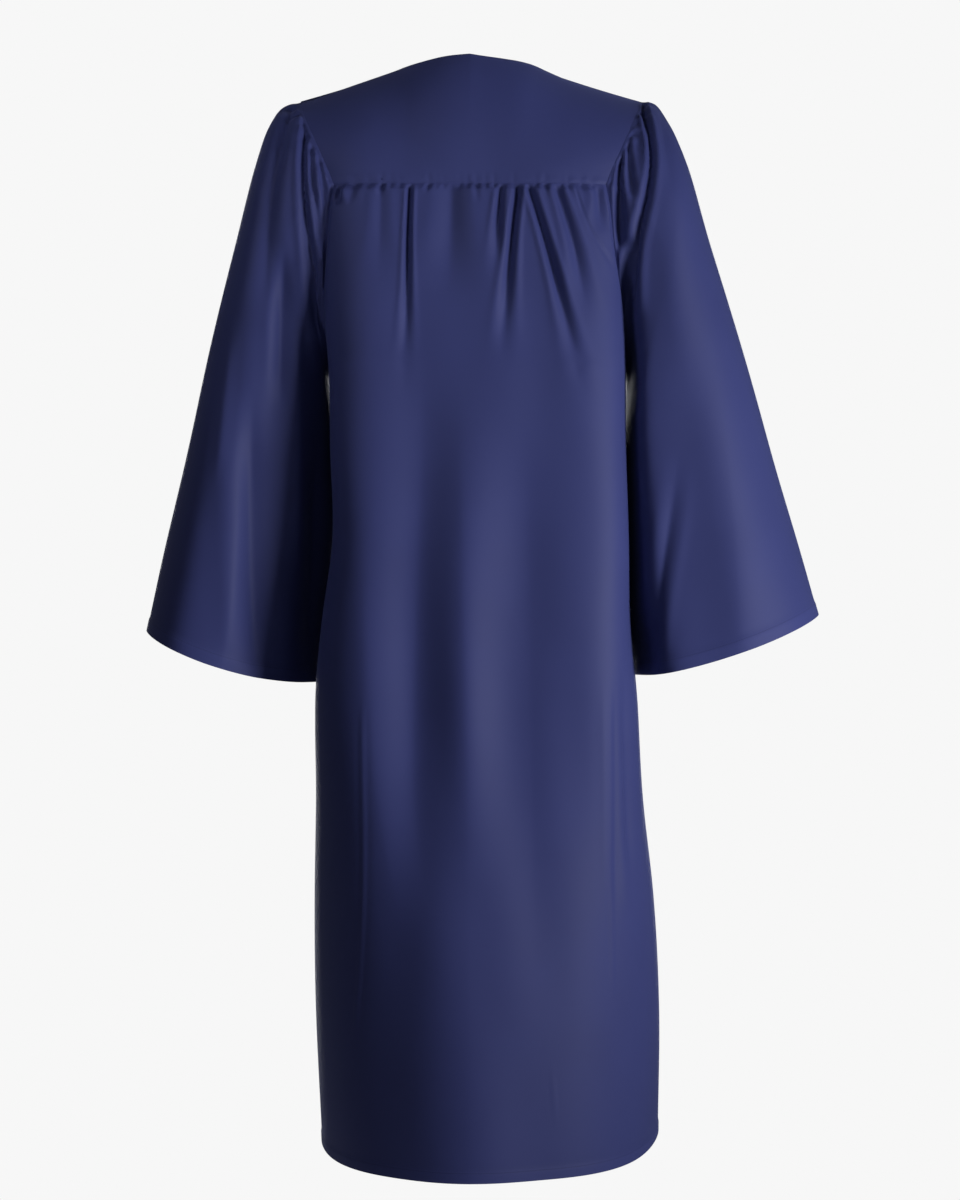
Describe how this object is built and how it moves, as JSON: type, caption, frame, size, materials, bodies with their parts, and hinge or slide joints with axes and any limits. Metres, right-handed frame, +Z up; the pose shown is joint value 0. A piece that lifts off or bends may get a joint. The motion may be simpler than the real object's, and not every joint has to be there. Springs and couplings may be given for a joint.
{
  "type": "graduation gown",
  "caption": "Full-length graduation gown in worn form: gathered back hung from a shoulder yoke, wide bell sleeves and a closed front zip with a swinging pull tab.",
  "frame": {"origin": "the middle of the line between the two side neck points, where the wearer's shoulders carry the gown", "axes": "+Z up, the wearer faces -Y, +X is the wearer's left"},
  "size_m": [0.735, 0.3944, 1.1852],
  "materials": {
    "navy_cloth": "matt woven polyester with a soft sheen",
    "zip_tape": "tight woven tape",
    "zip_chain": "moulded coil teeth",
    "zip_slider_paint": "navy enamel on die-cast metal"
  },
  "bodies": {
    "gown": {"yoke": "navy_cloth", "back": "navy_cloth", "front_left": "navy_cloth", "front_right": "navy_cloth", "sleeve_left": "navy_cloth", "sleeve_right": "navy_cloth", "zip_tape_left": "zip_tape", "zip_tape_right": "zip_tape", "zip_chain": "zip_chain", "zip_stop": "zip_slider_paint", "zip_slider": "zip_slider_paint", "zip_bail": "zip_slider_paint"},
    "pull_tab": {"zip_pull": "zip_slider_paint"}
  },
  "joints": [
    {"name": "pull_hinge", "type": "hinge", "parent": "gown", "child": "pull_tab", "pos_m": [0, -0.11624, -0.15664], "axis": [-1, 0, 0], "range_deg": [0, 150]}
  ]
}
